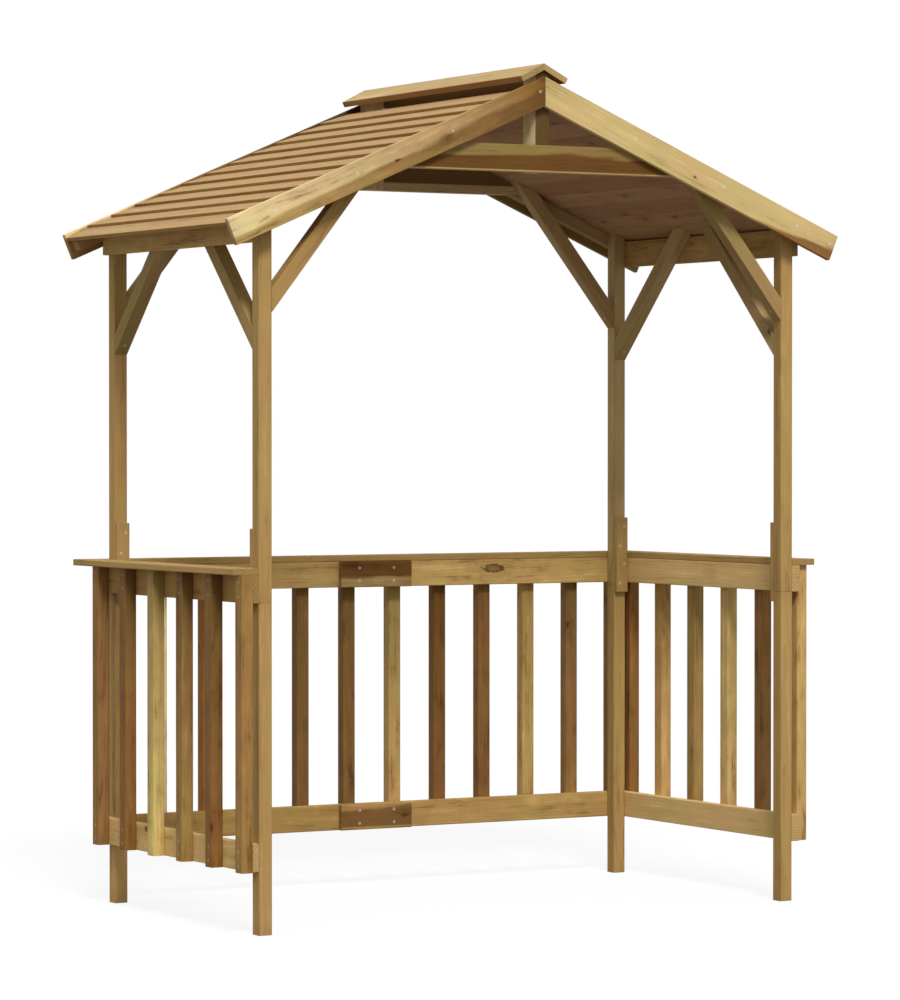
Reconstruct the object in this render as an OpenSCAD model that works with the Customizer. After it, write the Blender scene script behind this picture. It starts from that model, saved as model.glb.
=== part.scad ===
// Barbecue shelter: an open timber frame under a pitched, boarded roof, with a
// slatted fence and a narrow serving shelf round its left, right and back.
// Units are millimetres, +Z is up and the open side faces -Y. The origin is on
// the ground, under the centre of the whole shelter.

/* [Frame] */
// Width over the outer faces of the posts
frame_width = 1900; // [1600:10:2300]
// Depth over the front and back faces of the posts
frame_depth = 1040; // [980:10:1300]
// Side of the square legs, posts and braces
post_size = 44; // [38:1:60]
// Length of the plates that join the posts to the legs
splice_length = 251; // [240:1:300]
// Thickness of those plates
splice_thickness = 18; // [12:1:24]
// Size of the bevel along the edges of the sawn timbers
arris = 2; // [0.5:0.5:4]

/* [Fence] */
// Height of the lower rails above the ground
fence_bottom = 189; // [120:1:260]
// Height of the shelf's top above the ground
shelf_height = 1086; // [1060:1:1160]
// Width of the shelf boards
shelf_width = 85; // [75:1:110]
// Thickness of the shelf boards
shelf_thickness = 20; // [16:1:28]
// Height of the rails
rail_height = 84; // [60:1:95]
// Thickness of the rails
rail_thickness = 29; // [20:1:36]
// Width of a pale
pale_width = 44; // [35:1:60]
// Thickness of a pale
pale_thickness = 38; // [20:1:44]
// Pales in each side row
side_pale_count = 6; // [4:1:9]
// Pales in the back row
back_pale_count = 12; // [7:1:16]
// How far the left row stands forward of the posts
left_row_forward = 20; // [0:1:30]
// How far the right row stands back from the posts
right_row_back = 16; // [0:1:26]
// Space from each end of the back rails to its first pale
back_row_inset = 3.5; // [0:0.5:12]
// Sideways place of the joint in the back rails
rail_joint_place = 6; // [-60:1:60]
// Length of the plates behind that joint
joint_plate_length = 262; // [180:1:320]
// Thickness of the plates behind that joint
joint_plate_thickness = 20; // [14:1:26]

/* [Roof frame] */
// Slope of the roof in degrees
roof_pitch = 23; // [18:0.5:26]
// Height of the barge boards' peak above the ground
ridge_height = 2569; // [2450:1:2700]
// How far the roof reaches past the posts at the eaves
eaves_reach = 133; // [110:1:180]
// Depth of the barge boards, square to the slope
barge_depth = 83; // [76:1:100]
// Thickness of the barge boards
barge_thickness = 20; // [16:1:26]
// Width of the gable rafters and of the collars
rafter_width = 40; // [36:1:50]
// Depth of the gable rafters, square to the slope
rafter_depth = 38; // [30:1:50]
// How far the gable rafters stop short of the barge boards' ends
rafter_stop = 14; // [0:1:60]
// Height of the eaves beams
beam_height = 87; // [70:1:100]
// Thickness of the eaves beams
beam_thickness = 20; // [16:1:28]
// Depth of the collars' underside below the barge boards' peak
collar_drop = 289; // [240:1:310]
// Height of the collars
collar_height = 82; // [60:1:95]
// Width of the king posts
king_width = 47; // [40:1:60]
// Depth of the king posts from front to back
king_depth = 75; // [60:1:80]
// Slope of the side braces in degrees
side_brace_slope = 45; // [40:0.5:48]
// Depth of the side braces' feet below the eaves beams
side_brace_drop = 314; // [220:1:330]
// Slope of the gable braces in degrees
gable_brace_slope = 51.5; // [45:0.5:56]
// Depth of the gable braces' feet below the eaves beams
gable_brace_drop = 206; // [120:1:280]

/* [Roof boards and ridge] */
// Width of each roof board that shows
board_cover = 90.3; // [80:0.1:110]
// Overlap of each board on the next
board_lap = 30; // [15:1:32]
// Thickness of a board's lower edge
board_thick = 22; // [18:0.5:26]
// Thickness of a board's upper edge
board_thin = 10; // [8:0.5:12]
// Thickness of the eaves board's lower edge, which is planed down
eaves_board_edge = 11.5; // [9:0.5:13]
// Open seam between one board and the next
board_seam = 0.5; // [0.3:0.1:1]
// Distance down the slope from the peak to the first board
smoke_gap = 70; // [60:1:90]
// Width of the ridge cap boards
cap_width = 94; // [80:1:110]
// Thickness of the ridge cap boards
cap_thickness = 18.5; // [14:0.5:22]
// Slope of the ridge cap boards in degrees
cap_pitch = 27; // [25:0.5:32]
// Height of the ridge cap's underside above the barge boards' peak
cap_rise = 20.7; // [16:0.1:30]
// How far the ridge cap's ends stand back from the barge boards' faces
cap_set_back = 8; // [0:1:18]

/* [Hidden] */
half_width = frame_width / 2;
half_depth = frame_depth / 2;
post_inner_x = half_width - post_size;
post_inner_y = half_depth - post_size;

// Fence, from the ground up and from the posts outwards. The posts stand on
// the legs level with the top rails' underside.
rail_top = shelf_height - shelf_thickness;
joint_height = rail_top - rail_height;
splice_bottom = shelf_height - shelf_thickness / 2 - splice_length / 2;
rail_face = half_width + rail_thickness;
pale_face = rail_face + pale_thickness;
back_rail_face = half_depth + rail_thickness;
back_pale_face = back_rail_face + pale_thickness;
shelf_edge_x = half_width + shelf_width;
shelf_edge_y = half_depth + shelf_width;
side_pale_step = (frame_depth - pale_width) / (side_pale_count - 1);
back_row_start = -half_width + back_row_inset;
back_row_length = half_width + rail_face - 2 * back_row_inset;
back_pale_step = (back_row_length - pale_width) / (back_pale_count - 1);
butt_gap = 0.5;

// Roof. Heights on the slope are measured square to it from the barge boards'
// tops.
barge_inner_y = half_depth + rafter_width;
barge_outer_y = barge_inner_y + barge_thickness;
eaves_x = half_width + eaves_reach;
slope_end = eaves_x / cos(roof_pitch);
rafter_end = slope_end - rafter_stop;
beam_face = half_width + beam_thickness;
beam_top = roof_z(beam_face, -board_thick);
beam_bottom = beam_top - beam_height;
collar_bottom = ridge_height - collar_drop;
collar_top = collar_bottom + collar_height;
cap_mitre = cap_thickness * tan(cap_pitch);
cap_underside = ridge_height + cap_rise;
cap_end_y = barge_outer_y - cap_set_back;
board_run = slope_end - smoke_gap;
board_count = ceil((board_run - board_lap) / board_cover);
last_cover = board_run - (board_count - 1) * board_cover;
board_taper = (board_thick - board_thin) / (board_cover + board_lap);

// The shelter reaches further back than forward, so it is moved to put the
// origin under the middle.
middle_y = (shelf_edge_y - barge_outer_y) / 2;
big = 3 * ridge_height;

shade_post = [0.68, 0.54, 0.34];
shade_rail = [0.62, 0.48, 0.29];
shade_pale = [0.55, 0.41, 0.23];
shade_shelf = [0.72, 0.60, 0.38];
shade_barge = [0.78, 0.65, 0.40];
shade_roof = [0.57, 0.40, 0.26];
shade_plate = [0.38, 0.24, 0.14];

// ---- Shared shapes ----

// Height of the roof's slope at a distance from the middle, raised by a
// distance square to the slope.
function roof_z(x, raise) = ridge_height - x * tan(roof_pitch) + raise / cos(roof_pitch);

// Outline of a rectangular timber with bevelled edges.
module timber_outline(width, height) {
  polygon([
    [arris, 0], [width - arris, 0], [width, arris],
    [width, height - arris], [width - arris, height],
    [arris, height], [0, height - arris], [0, arris]
  ]);
}

// Timbers that run up, across and from front to back, between two corners.
module timber_up(low, high) {
  translate(low)
    linear_extrude(high[2] - low[2])
      timber_outline(high[0] - low[0], high[1] - low[1]);
}

module timber_across(low, high) {
  translate([low[0], low[1], low[2]])
    rotate([90, 0, 90])
      linear_extrude(high[0] - low[0])
        timber_outline(high[1] - low[1], high[2] - low[2]);
}

module timber_back(low, high) {
  translate([low[0], high[1], low[2]])
    rotate([90, 0, 0])
      linear_extrude(high[1] - low[1])
        timber_outline(high[0] - low[0], high[2] - low[2]);
}

// Pushes an outline drawn in X and Z from one Y to another.
module section(from_y, to_y) {
  translate([0, to_y, 0])
    rotate([90, 0, 0])
      linear_extrude(to_y - from_y)
        children();
}

// Everything below the roof boards, or below a face raised above them.
module below_roof(raise) {
  section(-big / 2, big / 2)
    polygon([
      [-big, -big], [big, -big], [big, roof_z(big, raise)],
      [0, roof_z(0, raise)], [-big, roof_z(big, raise)]
    ]);
}

// Everything below the ridge cap.
module below_cap() {
  edge_z = cap_underside - big * tan(cap_pitch);
  section(-big / 2, big / 2)
    polygon([
      [-big, -big], [big, -big], [big, edge_z], [0, cap_underside], [-big, edge_z]
    ]);
}

// Puts children on the right-hand side of a ridge: X runs down the slope and Z
// stands off it.
module on_slope(peak, pitch) {
  translate([0, 0, peak])
    rotate([0, pitch, 0])
      children();
}

// Places a piece drawn for the right back corner at any corner.
module at_corner(side, end) {
  translate([0, -middle_y, 0])
    mirror([side < 0 ? 1 : 0, 0, 0])
      mirror([0, end < 0 ? 1 : 0, 0])
        children();
}

// ---- Posts ----

module leg(side, end) {
  color(shade_post)
    at_corner(side, end)
      timber_up([post_inner_x, post_inner_y, 0], [half_width, half_depth, joint_height]);
}

// A post carries the roof boards, so its top is cut to their slope.
module post(side, end) {
  color(shade_post)
    at_corner(side, end)
      intersection() {
        timber_up([post_inner_x, post_inner_y, joint_height], [half_width, half_depth, ridge_height]);
        below_roof(-board_thick);
      }
}

module splice(side, end) {
  at_corner(side, end)
    timber_up(
      [post_inner_x, post_inner_y - splice_thickness, splice_bottom],
      [half_width, post_inner_y, splice_bottom + splice_length]
    );
}

module post_splices() {
  color(shade_plate)
    for (side = [-1, 1], end = [-1, 1])
      splice(side, end);
}

module front_left_leg() {
  leg(-1, -1);
}

module front_right_leg() {
  leg(1, -1);
}

module back_left_leg() {
  leg(-1, 1);
}

module back_right_leg() {
  leg(1, 1);
}

module front_left_post() {
  post(-1, -1);
}

module front_right_post() {
  post(1, -1);
}

module back_left_post() {
  post(-1, 1);
}

module back_right_post() {
  post(1, 1);
}

// ---- Fence ----

module side_rail(side, top, back_end) {
  color(shade_rail)
    at_corner(side, 1)
      timber_back(
        [half_width, -half_depth, top - rail_height],
        [rail_face, back_end, top]
      );
}

// The left rails run on over the end of the back rails, and the right rails
// stop against them.
module left_top_rail() {
  side_rail(-1, rail_top, back_rail_face);
}

module left_bottom_rail() {
  side_rail(-1, fence_bottom + rail_height, back_rail_face);
}

module right_top_rail() {
  side_rail(1, rail_top, half_depth);
}

module right_bottom_rail() {
  side_rail(1, fence_bottom + rail_height, half_depth);
}

// The back rails are in two lengths that meet behind a plate.
module back_rail(top) {
  color(shade_rail)
    at_corner(1, 1) {
      timber_across(
        [-half_width, half_depth, top - rail_height],
        [rail_joint_place - butt_gap / 2, back_rail_face, top]
      );
      timber_across(
        [rail_joint_place + butt_gap / 2, half_depth, top - rail_height],
        [rail_face, back_rail_face, top]
      );
    }
}

module back_top_rail() {
  back_rail(rail_top);
}

module back_bottom_rail() {
  back_rail(fence_bottom + rail_height);
}

module rail_joint_plates() {
  color(shade_plate)
    at_corner(1, 1)
      for (top = [rail_top, fence_bottom + rail_height])
        timber_across(
          [rail_joint_place - joint_plate_length / 2, half_depth - joint_plate_thickness, top - rail_height],
          [rail_joint_place + joint_plate_length / 2, half_depth, top]
        );
}

module side_shelf(side) {
  color(shade_shelf)
    at_corner(side, 1)
      timber_back([half_width, -half_depth, rail_top], [shelf_edge_x, half_depth, shelf_height]);
}

module left_shelf() {
  side_shelf(-1);
}

module right_shelf() {
  side_shelf(1);
}

module back_shelf() {
  color(shade_shelf)
    at_corner(1, 1)
      timber_across([-shelf_edge_x, half_depth, rail_top], [shelf_edge_x, shelf_edge_y, shelf_height]);
}

// One pale, with its inner left-hand foot at the given place.
module pale(x, y, across_x, across_y) {
  timber_up([x, y, fence_bottom], [x + across_x, y + across_y, rail_top]);
}

module side_row(side, shift) {
  color(shade_pale)
    at_corner(side, 1)
      for (i = [0 : side_pale_count - 1])
        pale(rail_face, shift - half_depth + i * side_pale_step, pale_thickness, pale_width);
}

module left_pales() {
  side_row(-1, -left_row_forward);
}

module right_pales() {
  side_row(1, right_row_back);
}

module back_pales() {
  color(shade_pale)
    at_corner(1, 1)
      for (i = [0 : back_pale_count - 1])
        pale(back_row_start + i * back_pale_step, back_rail_face, pale_width, pale_thickness);
}

// ---- Roof frame ----

// The beams are boards on the outer faces of the posts, and the roof boards
// rest on their outer top edges.
module eaves_beam(side) {
  color(shade_rail)
    at_corner(side, 1)
      timber_back([half_width, -half_depth, beam_bottom], [beam_face, half_depth, beam_top]);
}

module left_eaves_beam() {
  eaves_beam(-1);
}

module right_eaves_beam() {
  eaves_beam(1);
}

// A barge board covers the ends of the roof boards. It is cut plumb at the
// peak, where it meets its partner, and square at the eaves.
module barge_board(side, end) {
  peak_cut = barge_depth * tan(roof_pitch);
  color(shade_barge)
    at_corner(side, end)
      on_slope(ridge_height, roof_pitch)
        section(barge_inner_y, barge_outer_y)
          polygon([
            [0, 0], [slope_end, 0],
            [slope_end, -barge_depth], [peak_cut, -barge_depth]
          ]);
}

module front_left_barge_board() {
  barge_board(-1, -1);
}

module front_right_barge_board() {
  barge_board(1, -1);
}

module back_left_barge_board() {
  barge_board(-1, 1);
}

module back_right_barge_board() {
  barge_board(1, 1);
}

// The gable rafters lie behind the barge boards, against the posts and right
// under the roof boards. They stop at the collar and at the king post.
module gable_rafter(side, end) {
  at_corner(side, end)
    difference() {
      on_slope(ridge_height, roof_pitch)
        translate([0, half_depth, -board_thick - rafter_depth])
          cube([rafter_end, rafter_width, rafter_depth]);
      translate([-big / 2, 0, collar_bottom])
        cube([big, big, collar_height]);
      translate([-big / 2, 0, 0])
        cube([big / 2 + king_width / 2, big, big]);
    }
}

module gable_rafters() {
  color(shade_roof)
    for (side = [-1, 1], end = [-1, 1])
      gable_rafter(side, end);
}

module collar_block(end) {
  at_corner(1, end)
    intersection() {
      translate([-half_width, half_depth, collar_bottom])
        cube([frame_width, rafter_width, collar_height]);
      below_roof(-board_thick);
    }
}

module front_collar() {
  color(shade_barge)
    collar_block(-1);
}

module back_collar() {
  color(shade_barge)
    collar_block(1);
}

// A king post is notched over the collar and stands up between the roof
// boards to hold the ridge cap clear of them. Its top is cut to the cap.
module king_post(end) {
  color(shade_post)
    difference() {
      at_corner(1, end)
        intersection() {
          translate([-king_width / 2, barge_inner_y - king_depth, collar_bottom])
            cube([king_width, king_depth, big]);
          below_cap();
        }
      collar_block(end);
    }
}

module front_king_post() {
  king_post(-1);
}

module back_king_post() {
  king_post(1);
}

// ---- Braces ----

// A side brace rises from a post and runs on past the beam to the roof.
module side_brace(side, end) {
  rise = ridge_height - beam_bottom + side_brace_drop;
  run = rise / tan(side_brace_slope);
  foot = beam_bottom - side_brace_drop;
  foot_height = post_size / cos(side_brace_slope);
  color(shade_post)
    at_corner(side, end)
      intersection() {
        translate([post_inner_x, 0, 0])
          rotate([90, 0, 90])
            linear_extrude(post_size)
              polygon([
                [post_inner_y, foot], [post_inner_y, foot + foot_height],
                [post_inner_y - run, foot + foot_height + rise],
                [post_inner_y - run, foot + rise]
              ]);
        below_roof(-board_thick);
      }
}

module front_left_side_brace() {
  side_brace(-1, -1);
}

module front_right_side_brace() {
  side_brace(1, -1);
}

module back_left_side_brace() {
  side_brace(-1, 1);
}

module back_right_side_brace() {
  side_brace(1, 1);
}

// A gable brace rises from a post to the roof boards, beside the collar.
module gable_brace(side, end) {
  rise = ridge_height - beam_bottom + gable_brace_drop;
  run = rise / tan(gable_brace_slope);
  foot = beam_bottom - gable_brace_drop;
  foot_height = post_size / cos(gable_brace_slope);
  color(shade_post)
    at_corner(side, end)
      intersection() {
        section(post_inner_y, half_depth)
          polygon([
            [post_inner_x, foot], [post_inner_x, foot + foot_height],
            [post_inner_x - run, foot + foot_height + rise],
            [post_inner_x - run, foot + rise]
          ]);
        below_roof(-board_thick);
      }
}

module front_left_gable_brace() {
  gable_brace(-1, -1);
}

module front_right_gable_brace() {
  gable_brace(1, -1);
}

module back_left_gable_brace() {
  gable_brace(-1, 1);
}

module back_right_gable_brace() {
  gable_brace(1, 1);
}

// ---- Roof boards ----

// Outline of one feather-edged board. It is flat below and tapers up the
// slope, and its thick lower edge is rebated to lap the board below it.
module board_outline(cover) {
  lap_floor = board_thin + board_seam;
  polygon([
    [0, 0], [cover - board_seam, 0], [cover - board_seam, lap_floor],
    [cover + board_lap, lap_floor + board_lap * board_taper],
    [cover + board_lap, board_thick], [0, board_thin]
  ]);
}

// The board at the eaves has nothing to lap, so it is ripped to what is left
// and planed down to a thin edge.
module eaves_board_outline(cover) {
  polygon([
    [0, 0], [cover, 0], [cover, eaves_board_edge],
    [board_lap, board_thin + board_lap * board_taper], [0, board_thin]
  ]);
}

module roof_slope(side) {
  color(shade_roof)
    at_corner(side, 1)
      on_slope(ridge_height, roof_pitch)
        translate([smoke_gap, 0, -board_thick])
          section(-barge_inner_y, barge_inner_y) {
            for (i = [0 : board_count - 2])
              translate([i * board_cover, 0])
                board_outline(board_cover);
            translate([(board_count - 1) * board_cover, 0])
              eaves_board_outline(last_cover);
          }
}

module left_roof_boards() {
  roof_slope(-1);
}

module right_roof_boards() {
  roof_slope(1);
}

// ---- Ridge cap ----

// Each cap board is mitred plumb at the peak and cut square at its edge.
module ridge_cap(side) {
  color(shade_shelf)
    at_corner(side, 1)
      on_slope(cap_underside, cap_pitch)
        section(-cap_end_y, cap_end_y)
          polygon([
            [0, 0], [cap_width - cap_mitre, 0],
            [cap_width - cap_mitre, cap_thickness], [-cap_mitre, cap_thickness]
          ]);
}

module left_ridge_cap() {
  ridge_cap(-1);
}

module right_ridge_cap() {
  ridge_cap(1);
}

front_left_leg();
front_right_leg();
back_left_leg();
back_right_leg();
front_left_post();
front_right_post();
back_left_post();
back_right_post();
post_splices();
left_eaves_beam();
right_eaves_beam();
front_left_barge_board();
front_right_barge_board();
back_left_barge_board();
back_right_barge_board();
gable_rafters();
front_collar();
back_collar();
front_king_post();
back_king_post();
front_left_side_brace();
front_right_side_brace();
back_left_side_brace();
back_right_side_brace();
front_left_gable_brace();
front_right_gable_brace();
back_left_gable_brace();
back_right_gable_brace();
left_roof_boards();
right_roof_boards();
left_ridge_cap();
right_ridge_cap();
left_top_rail();
left_bottom_rail();
right_top_rail();
right_bottom_rail();
back_top_rail();
back_bottom_rail();
rail_joint_plates();
left_shelf();
right_shelf();
back_shelf();
left_pales();
right_pales();
back_pales();
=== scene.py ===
# %% [markdown]
# # A barbecue shelter, dressed in timber
# The construction arrives finished: legs, posts, rails, pales, braces, barge
# boards and roof boards, each in its place and at its real size. This lesson
# turns those plain solids into planed and sawn softwood. Every timber gets
# eased edges, its own grain and its own colour, and the screws that hold it.

# %% Load the frame
import math
import random

import bmesh
import bpy
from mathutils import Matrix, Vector


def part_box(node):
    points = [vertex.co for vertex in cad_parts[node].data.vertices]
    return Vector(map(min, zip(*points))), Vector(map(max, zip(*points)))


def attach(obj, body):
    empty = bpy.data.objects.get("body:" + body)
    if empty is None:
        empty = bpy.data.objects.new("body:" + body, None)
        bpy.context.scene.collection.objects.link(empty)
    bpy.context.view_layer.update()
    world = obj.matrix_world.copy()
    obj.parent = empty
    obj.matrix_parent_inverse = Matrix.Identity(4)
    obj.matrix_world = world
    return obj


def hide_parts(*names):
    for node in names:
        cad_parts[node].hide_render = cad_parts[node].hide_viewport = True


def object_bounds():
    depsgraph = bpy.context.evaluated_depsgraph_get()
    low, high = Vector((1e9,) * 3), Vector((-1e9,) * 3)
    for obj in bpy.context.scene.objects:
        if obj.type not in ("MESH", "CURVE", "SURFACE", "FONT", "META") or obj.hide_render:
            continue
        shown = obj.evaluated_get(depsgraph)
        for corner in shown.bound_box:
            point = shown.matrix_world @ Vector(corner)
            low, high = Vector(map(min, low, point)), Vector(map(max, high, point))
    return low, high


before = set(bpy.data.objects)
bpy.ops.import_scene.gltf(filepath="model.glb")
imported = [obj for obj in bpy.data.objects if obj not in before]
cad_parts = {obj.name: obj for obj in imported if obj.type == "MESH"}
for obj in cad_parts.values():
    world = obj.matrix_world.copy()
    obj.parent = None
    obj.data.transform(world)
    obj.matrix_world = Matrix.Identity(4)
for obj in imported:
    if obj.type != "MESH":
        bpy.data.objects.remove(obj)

cad_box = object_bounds()
cad_size = [round(x, 4) for x in cad_box[1] - cad_box[0]]
print("frame loaded:", len(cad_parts), "nodes, box", cad_size)

# %% [markdown]
# ## Camera, floor and light
# A long lens from some distance keeps the posts almost parallel, as in a
# catalogue picture. The shelter stands on the origin, so the camera is placed
# in metres from there and turned to look past it at a slight downward angle.
# A Track To constraint would aim it too, but the framing is easier to keep
# when the turn is written down.

# %% Camera
CAMERA_PLACE = (-6.5562, -11.4756, 1.4724)
CAMERA_TURN = math.radians(29.752)
CAMERA_DIP = math.radians(0.8636)
LENS_LENGTH, SENSOR = 150.09, 36
AIM = Vector((0, 0, 1.3))


def add_object(name, data):
    """Puts an object in the scene."""
    made = bpy.data.objects.new(name, data)
    bpy.context.scene.collection.objects.link(made)
    return made


lens = bpy.data.cameras.new("camera")
lens.lens = LENS_LENGTH
lens.sensor_width = SENSOR
camera = add_object("camera", lens)
camera.location = CAMERA_PLACE
camera.rotation_euler = (math.pi / 2 - CAMERA_DIP, 0, -CAMERA_TURN)
bpy.context.scene.camera = camera
bpy.context.scene.view_settings.view_transform = "Standard"
print("camera", round((camera.location - AIM).length, 2), "m from the shelter")

# %% [markdown]
# ## Node trees as expressions
# Materials and Geometry Nodes both live in node trees. Wiring them by hand
# takes a dozen lines for a short sum, so one small class wraps an output
# socket and lets Python's own operators add the Math nodes. Every other node
# comes from `Tree.add`, which sets the node's options first and then its
# inputs, because some options change which inputs a node has.

# %% Wire and Tree
class Wire:
    """An output socket that takes part in arithmetic."""

    def __init__(self, tree, socket):
        self.tree, self.socket = tree, socket

    def math(self, operation, *values):
        return self.tree.add("ShaderNodeMath", {"operation": operation}, dict(enumerate(values)))

    def output(self, name):
        return Wire(self.tree, self.socket.node.outputs[name])

    def __add__(self, other):
        return self.math("ADD", self, other)

    def __radd__(self, other):
        return self.math("ADD", other, self)

    def __sub__(self, other):
        return self.math("SUBTRACT", self, other)

    def __rsub__(self, other):
        return self.math("SUBTRACT", other, self)

    def __mul__(self, other):
        return self.math("MULTIPLY", self, other)

    def __truediv__(self, other):
        return self.math("DIVIDE", self, other)

    def __pow__(self, other):
        return self.math("POWER", self, other)


class Tree:
    """A node tree that grows by expressions."""

    def __init__(self, tree):
        self.tree = tree

    def add(self, kind, settings=None, values=None, out=0):
        node = self.tree.nodes.new(kind)
        for name, value in (settings or {}).items():
            setattr(node, name, value)
        for name, value in (values or {}).items():
            if isinstance(value, Wire):
                self.tree.links.new(value.socket, node.inputs[name])
            else:
                node.inputs[name].default_value = value
        return Wire(self, node.outputs[out]) if node.outputs else node

    def step(self, value, low, high):
        """0 below low, 1 above high and smooth between."""
        ends = {0: value, 1: low, 2: high, 3: 0.0, 4: 1.0}
        return self.add("ShaderNodeMapRange", {"interpolation_type": "SMOOTHSTEP"}, ends)

    def blend(self, share, first, second, kind="MIX"):
        settings = {"data_type": "RGBA", "blend_type": kind, "clamp_factor": True}
        return self.add("ShaderNodeMix", settings, {0: share, 6: first, 7: second}, out=2)

    def split(self, vector):
        """The three parts of a vector."""
        x = self.add("ShaderNodeSeparateXYZ", {}, {0: vector}, out="X")
        return x, x.output("Y"), x.output("Z")

    def stretch(self, vector, x, y, z):
        return self.add("ShaderNodeVectorMath", {"operation": "MULTIPLY"}, {0: vector, 1: (x, y, z)})

    def noise(self, vector, scale=1.0, detail=3.0, roughness=0.5):
        sizes = {"Vector": vector, "Scale": scale, "Detail": detail, "Roughness": roughness}
        return self.add("ShaderNodeTexNoise", {}, sizes)


def new_material(name):
    """An empty material and the tree to fill."""
    material = bpy.data.materials.new(name)
    material.use_nodes = True
    material.node_tree.nodes.clear()
    return material, Tree(material.node_tree)


def end_material(tree, bump, distance, height, surface):
    """Gives a material its relief and its surface."""
    sizes = {"Strength": bump, "Distance": distance, "Height": height}
    relief = tree.add("ShaderNodeBump", {}, sizes)
    surface = tree.add("ShaderNodeBsdfPrincipled", {}, {"Normal": relief, **surface})
    tree.add("ShaderNodeOutputMaterial", {}, {"Surface": surface})


GAMMA = 2.2


def linear(red, green, blue):
    """A colour written as it looks, from 0 to 255, turned into light."""
    return tuple((c / 255) ** GAMMA for c in (red, green, blue)) + (1.0,)


print("node helpers ready")

# %% [markdown]
# ## Floor and daylight
# The studio is white all round. A strong lamp on a white floor would bleach
# the timber from below, so the camera sees a floor that is mostly its own
# white glow, with a little true diffuse to keep the shadow, while the timber
# sees a plain grey floor. The Light Path node tells the two apart. One broad
# sun from the front, high up, gives the shade under the roof and the shelf.

# %% Floor, world and sun
WHITE = (1, 1, 1, 1)
GLOW_SHARE = 0.86
GREY_FLOOR = (0.25, 0.24, 0.23, 1)
FLOOR_REACH = 60.0


def seen_by_eye(tree):
    """1 for rays that reach the picture: straight, by a mirror or through glass."""
    path = tree.add("ShaderNodeLightPath", out="Is Camera Ray")
    mirrored = path.math("MAXIMUM", path, path.output("Is Glossy Ray"))
    return mirrored.math("MAXIMUM", mirrored, path.output("Is Transmission Ray"))


def as_mesh(bm, name):
    """Turns a bmesh into mesh data."""
    data = bpy.data.meshes.new(name)
    bm.to_mesh(data)
    bm.free()
    return data


floor_mesh = bmesh.new()
bmesh.ops.create_grid(floor_mesh, x_segments=1, y_segments=1, size=FLOOR_REACH)
floor = add_object("floor", as_mesh(floor_mesh, "floor"))

floor_paint, tree = new_material("floor_white")
white = tree.add("ShaderNodeBsdfDiffuse", {}, {"Color": WHITE})
glow = tree.add("ShaderNodeEmission", {}, {"Color": WHITE, "Strength": 1.0})
grey = tree.add("ShaderNodeBsdfDiffuse", {}, {"Color": GREY_FLOOR})
shown = tree.add("ShaderNodeMixShader", {}, {0: GLOW_SHARE, 1: white, 2: glow})
either = tree.add("ShaderNodeMixShader", {}, {0: seen_by_eye(tree), 1: grey, 2: shown})
tree.add("ShaderNodeOutputMaterial", {}, {"Surface": either})
floor.data.materials.append(floor_paint)

SKY_LIGHT = 0.60
SUN_FROM = Vector((-0.20, -0.67, 0.75))
SUN_STRENGTH = 2.3
SUN_WIDTH = math.radians(16)
world = bpy.data.worlds.new("studio")
bpy.context.scene.world = world
world.use_nodes = True
world.node_tree.nodes.clear()
tree = Tree(world.node_tree)
strength = SKY_LIGHT + seen_by_eye(tree) * (1 - SKY_LIGHT)
sky = tree.add("ShaderNodeBackground", {}, {"Color": WHITE, "Strength": strength})
tree.add("ShaderNodeOutputWorld", {}, {"Surface": sky})

lamp = bpy.data.lights.new("sun", "SUN")
lamp.energy = SUN_STRENGTH
lamp.angle = SUN_WIDTH
sun = add_object("sun", lamp)
sun.rotation_euler = SUN_FROM.to_track_quat("Z", "Y").to_euler()
print("sun stands", round(math.degrees(math.asin(SUN_FROM.normalized().z))), "degrees high")

# %% [markdown]
# ## What a timber knows about itself
# Grain runs along a timber, so a pattern on plain object coordinates would
# cut across every brace and barge board. Each timber therefore carries its own
# measurements as mesh attributes: where a point lies across and along the
# wood, measured from the heart of the tree it was cut from, how far it is
# from the ends, and what tones the board has. Few boards are of one tone. Pale
# sapwood may fill one side of a board, above or below a line that wanders
# along it, and both tones may darken towards one end. Some timbers use the
# same two tones for painted light and shade instead: a darker underside, edge
# or shaded face, or a lighter lit face. All of these vary evenly over each
# flat face, so corners alone can hold them.

# %% Find the timbers in a mesh
WELD = 1e-5
FLAT = math.radians(1)


def merged_copy(node):
    """A CAD node's triangles as a bmesh of whole, flat faces."""
    bm = bmesh.new()
    bm.from_mesh(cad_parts[node].data)
    bmesh.ops.remove_doubles(bm, verts=bm.verts, dist=WELD)
    bmesh.ops.dissolve_limit(bm, angle_limit=FLAT, verts=bm.verts, edges=bm.edges)
    return bm


def islands(bm):
    """The vertices of each solid in a bmesh."""
    waiting, found = set(bm.verts), []
    for start in list(bm.verts):
        if start not in waiting:
            continue
        waiting.discard(start)
        island, to_visit = [start], [start]
        while to_visit:
            vert = to_visit.pop()
            for edge in vert.link_edges:
                near = edge.other_vert(vert)
                if near in waiting:
                    waiting.discard(near)
                    island.append(near)
                    to_visit.append(near)
        found.append(island)
    return found


def corners(island):
    """The lowest and the highest corner of the box round a solid."""
    low = Vector(min(v.co[i] for v in island) for i in range(3))
    high = Vector(max(v.co[i] for v in island) for i in range(3))
    return low, high


def middle(island):
    low, high = corners(island)
    return (low + high) / 2


def in_order(bm, order):
    """The solids of a bmesh, sorted along a direction."""
    return sorted(islands(bm), key=lambda part: middle(part).dot(Vector(order)))


print("back row holds", len(islands(merged_copy("back_pales"))), "pales")

# %% Find a timber's directions
# Shorter edges, and edges that run mostly along, don't tell what is across.
SHORT_EDGE, ACROSS_SHARE = 0.006, 0.3
SAME_WIDTH, LEVEL = 1e-4, 0.01


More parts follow.
